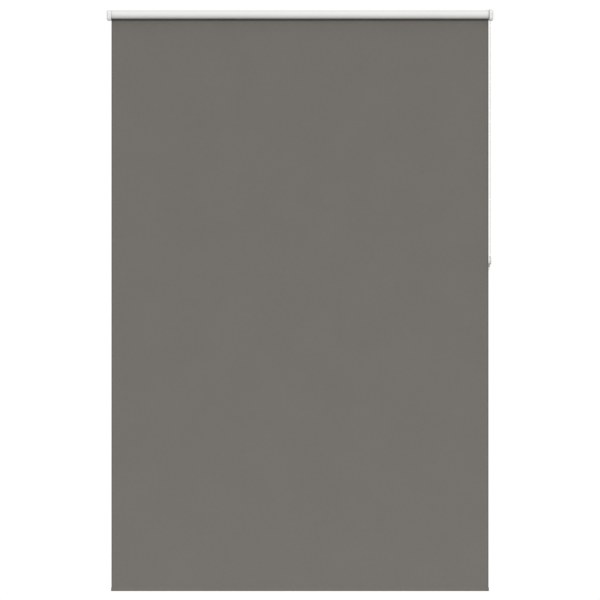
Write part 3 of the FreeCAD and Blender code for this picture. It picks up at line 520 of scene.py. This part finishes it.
def hem_profile():
    """Outside of the hem seen from the side, from the weld's front under the slat to the weld's
    back: a welded band with two low ribs, which opens smoothly round the slat."""
    half_slat = (HEM_HIGH.y - HEM_LOW.y) / 2
    weld_half = 0.9 * CLOTH
    bottom = HEM_LOW.z
    centre_low = bottom + half_slat
    slat_top = bottom + (SLAT_HIGH.z - SLAT_LOW.z) + 2 * CLOTH
    weld_foot = slat_top + 1.2 * MM
    shoulder = slat_top - half_slat
    rib_height, ribs = 0.06 * MM, 2
    points = 9
    front = []
    for z in np.linspace(HEM_TOP, weld_foot, points):
        rib = rib_height * math.sin((z - weld_foot) / (HEM_TOP - weld_foot) * ribs * math.pi)
        front.append((-weld_half - abs(rib), z))
    for share in np.linspace(0, 1, points)[1:]:
        z = weld_foot + (shoulder - weld_foot) * share
        front.append((-weld_half - (half_slat - weld_half) * float(ease(share)) ** 0.8, z))
    front.append((-half_slat, (shoulder + centre_low) / 2))
    for turn in np.linspace(0, math.pi / 2, points):
        front.append((-half_slat * math.cos(turn), centre_low - half_slat * math.sin(turn)))
    back = [(-y, z) for y, z in reversed(front[:-1])]
    return np.array(front + back)


def make_hem(materials):
    """The cloth's end, folded round the slat and welded to itself, taupe outside and puckered a
    little between its weld and its lower edge."""
    outline = hem_profile()
    following = np.roll(outline, -1, axis=0) - np.roll(outline, 1, axis=0)
    following[0] = outline[1] - outline[0]
    following[-1] = outline[-1] - outline[-2]
    normal = np.stack([-following[:, 1], following[:, 0]], axis=1)
    normal /= np.linalg.norm(normal, axis=1)[:, None]
    x = edge_columns(HALF_WIDTH, 4, 91)
    pucker = 0.05 * MM * (np.sin(x * 47) + 0.6 * np.sin(x * 113 + 1.7))
    below_top, above_bottom = HEM_TOP - outline[:, 1], outline[:, 1] - HEM_LOW.z
    full = ease(below_top / (8 * MM)) * ease(above_bottom / (3 * MM))
    outside = np.zeros((len(outline), len(x), 3))
    outside[:, :, 0] = x[None, :]
    swell = np.sign(outline[:, 0])[:, None] * full[:, None] * pucker[None, :]
    outside[:, :, 1] = CLOTH_Y + outline[:, 0][:, None] + swell
    outside[:, :, 2] = outline[:, 1][:, None]
    inside = outside.copy()
    thick = 0.8 * CLOTH
    inside[:, :, 1] += (normal[:, 0] * thick)[:, None]
    inside[:, :, 2] += (normal[:, 1] * thick)[:, None]
    vertices, faces, kinds = grid_solid(outside, inside)
    hem = add_mesh("hem_cloth", vertices, faces, materials, kinds)
    sharpen(hem)
    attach(hem, "bottom_rail")
    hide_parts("hem")
    return hem


# ---------------------------------------------------------------- the bead chain


def chain_route():
    """The free loop's control points, from the front strand's exit round the tensioner's drum
    and back up to the other exit. The spline starts to turn halfway between straight and low,
    and straight is set so that its turn keeps close to the drum's half circle."""
    straight = CHAIN_TURN_Z + 1.709 * CHAIN_R
    low = CHAIN_TURN_Z - CHAIN_R
    side = [(-CHAIN_R, CHAIN_EXIT_Z), (-CHAIN_R, straight), (-CHAIN_R, low)]
    return [(CHAIN_X, AXIS_Y + y, z) for y, z in side + [(-y, z) for y, z in reversed(side)]]


def points_on_route(route):
    """Points along the smooth spline that the route controls."""
    data = bpy.data.curves.new("chain_route", "CURVE")
    data.dimensions = "3D"
    data.resolution_u = 40
    spline = data.splines.new("NURBS")
    spline.points.add(len(route) - 1)
    for point, place in zip(spline.points, route):
        point.co = (*place, 1)
    spline.order_u = 3
    spline.use_endpoint_u = True
    carrier = bpy.data.objects.new("chain_route", data)
    bpy.context.scene.collection.objects.link(carrier)
    bpy.context.view_layer.update()
    mesh = bpy.data.meshes.new_from_object(carrier)
    points = np.array([v.co for v in mesh.vertices])
    bpy.data.meshes.remove(mesh)
    bpy.data.objects.remove(carrier)
    return points


def along(points, distances):
    """Places and directions at distances along a line of points, and the line's length."""
    steps = np.linalg.norm(np.diff(points, axis=0), axis=1)
    travelled = np.concatenate([[0], np.cumsum(steps)])
    places = np.stack([np.interp(distances, travelled, points[:, k]) for k in range(3)], axis=1)
    ahead = np.stack([np.interp(distances + MM, travelled, points[:, k]) for k in range(3)], axis=1)
    behind = np.stack([np.interp(distances - MM, travelled, points[:, k]) for k in range(3)], axis=1)
    ways = ahead - behind
    return places, ways / np.linalg.norm(ways, axis=1)[:, None], travelled[-1]


def bead_rings():
    """(distance along the string, radius) of a bead's rings: a ball with short necks and a
    faint moulding seam round its middle."""
    radius = BEAD / 2
    neck = STRING / 2 + 0.22 * MM
    ball = []
    for turn in (-66, -55, -44, -33, -22, -12, -4, 0, 4, 12, 22, 33, 44, 55, 66):
        a = math.radians(turn)
        seam = 0.04 * MM if turn == 0 else 0
        ball.append((radius * math.sin(a), radius * math.cos(a) + seam))
    end = radius + 0.12 * MM
    return [(-end, STRING / 2), (-end, neck), *ball, (end, neck), (end, STRING / 2)]


def add_tube(vertices, faces, centres, ways, radii, sides):
    """Adds rings of points round a line, joined by faces. The line nowhere runs along X."""
    first = len(vertices)
    for centre, way, radius in zip(centres, ways, radii):
        across = np.array([1.0, 0, 0]) - way * way[0]
        across /= np.linalg.norm(across)
        other = np.cross(way, across)
        for k in range(sides):
            a = 2 * math.pi * k / sides
            vertices.append(centre + radius * (math.cos(a) * across + math.sin(a) * other))
    for ring in range(len(centres) - 1):
        for k in range(sides):
            a = first + ring * sides + k
            b = first + ring * sides + (k + 1) % sides
            faces.append((a, b, b + sides, a + sides))


def beaded_line(name, points, bead_places, materials):
    """A string along the points with beads at the given distances."""
    string_sides, bead_sides = 8, 16
    vertices, faces = [], []
    _, _, length = along(points, np.array([0.0]))
    spacing = 1.5 * MM
    distances = np.linspace(0, length, int(length / spacing) + 1)
    places, ways, _ = along(points, distances)
    add_tube(vertices, faces, places, ways, [STRING / 2] * len(places), string_sides)
    string_faces = len(faces)
    places, ways, _ = along(points, bead_places)
    rings = bead_rings()
    for place, way in zip(places, ways):
        centres = [place + way * offset for offset, _ in rings]
        radii = [radius for _, radius in rings]
        add_tube(vertices, faces, centres, [way] * len(rings), radii, bead_sides)
    indices = [1] * string_faces + [0] * (len(faces) - string_faces)
    line = add_mesh(name, vertices, faces, materials, indices)
    sharpen(line, 50)
    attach(line, "mounting")
    return line


def make_chain(materials):
    """The free loop of bead chain, and the stretch over the wheel with a bead in each pocket and
    beads_below more on each strand. The loop's beads go on from those at the same pitch."""
    beads_below = 2
    points = points_on_route(chain_route())
    _, _, length = along(points, np.array([0.0]))
    first_bead = (beads_below + 1) * BEAD_PITCH + CHAIN_EXIT_Z
    count = round((length - 2 * first_bead) / BEAD_PITCH)
    bead_places = np.linspace(first_bead, length - first_bead, count + 1)
    loop = beaded_line("bead_chain", points, bead_places, materials)
    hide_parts("chain_loop")

    top = []
    for turn in np.linspace(-math.pi, 0, 61):
        top.append((CHAIN_X, AXIS_Y + CHAIN_R * math.cos(turn), -CHAIN_R * math.sin(turn)))
    down = [(CHAIN_X, AXIS_Y - CHAIN_R, CHAIN_EXIT_Z)]
    up = [(CHAIN_X, AXIS_Y + CHAIN_R, CHAIN_EXIT_Z)]
    over = np.array(down + top + up)
    half_turn = math.pi * CHAIN_R
    pockets = WHEEL_POCKETS // 2
    start = -CHAIN_EXIT_Z
    on_wheel = [start + half_turn * k / pockets for k in range(pockets + 1)]
    hanging = [start - BEAD_PITCH * k for k in range(1, beads_below + 1)]
    beyond = [start + half_turn + BEAD_PITCH * k for k in range(1, beads_below + 1)]
    places = np.array(sorted(on_wheel + hanging + beyond))
    wheel_beads = beaded_line("beads_on_wheel", over, places, materials)
    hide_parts("chain_on_wheel")


def make_pin_spring(material):
    """The idle pin's spring, a round-wire coil with close end turns. It goes with the pin as a
    whole; its right end sits at the plug's stop."""
    low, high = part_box("idle_spring")
    wire_radius, wire_sides = 0.4 * MM, 12
    coil_radius = (high.z - low.z) / 2 - wire_radius
    turns, steps_per_turn = 8, 28
    turned = np.linspace(0, turns, turns * steps_per_turn + 1)
    length = high.x - low.x - 2 * wire_radius
    end_pitch = 2.1 * wire_radius
    ends = [0, 1, turns - 1, turns]
    x = low.x + wire_radius + np.interp(turned, ends, [0, end_pitch, length - end_pitch, length])
    angle = 2 * math.pi * turned
    y = AXIS_Y + coil_radius * np.cos(angle)
    centres = np.stack([x, y, coil_radius * np.sin(angle)], axis=1)
    ways = np.gradient(centres, axis=0)
    ways /= np.linalg.norm(ways, axis=1)[:, None]
    radii = np.full(len(centres), wire_radius)
    radii[[0, -1]] = 0.02 * MM
    centres[0] -= ways[0] * 0.01 * MM
    vertices, faces = [], []
    add_tube(vertices, faces, centres, ways, radii, wire_sides)
    spring = add_mesh("pin_spring", vertices, faces, [material])
    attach(spring, "pin")
    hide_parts("idle_spring")
    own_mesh(spring)


# ---------------------------------------------------------------- everything together


def dress_cad_nodes(materials):
    """Gives each carried-over CAD node its slot's material."""
    slots = {row["node"]: row["material_slot"] for row in frame["record"]["subparts"]}
    for name, node in frame["nodes"].items():
        node.data.materials.clear()
        node.data.materials.append(materials[slots[name]])


def main():
    make_camera()
    materials = make_materials()
    make_chain([materials["chain_plastic"], materials["chain_string"]])
    make_world(shown=1.02, ambient=0.38)
    add_sun("key", azimuth=7, elevation=25, strength=1.35, angle=0.5)
    add_sun("soft", azimuth=0, elevation=45, strength=0.7, angle=70.0)
    add_sun("back_fill", azimuth=160, elevation=30, strength=0.8, angle=12.0)
    make_floor()
    cloth = [materials["blind_cloth"], materials["roll_coating"], materials["cloth_edge"]]
    panel = make_panel(cloth)
    roll = make_roll(cloth)
    hem = make_hem(cloth)
    make_pin_spring(materials["spring_steel"])
    dress_cad_nodes(materials)
    bpy.context.scene.view_settings.view_transform = "Standard"


main()
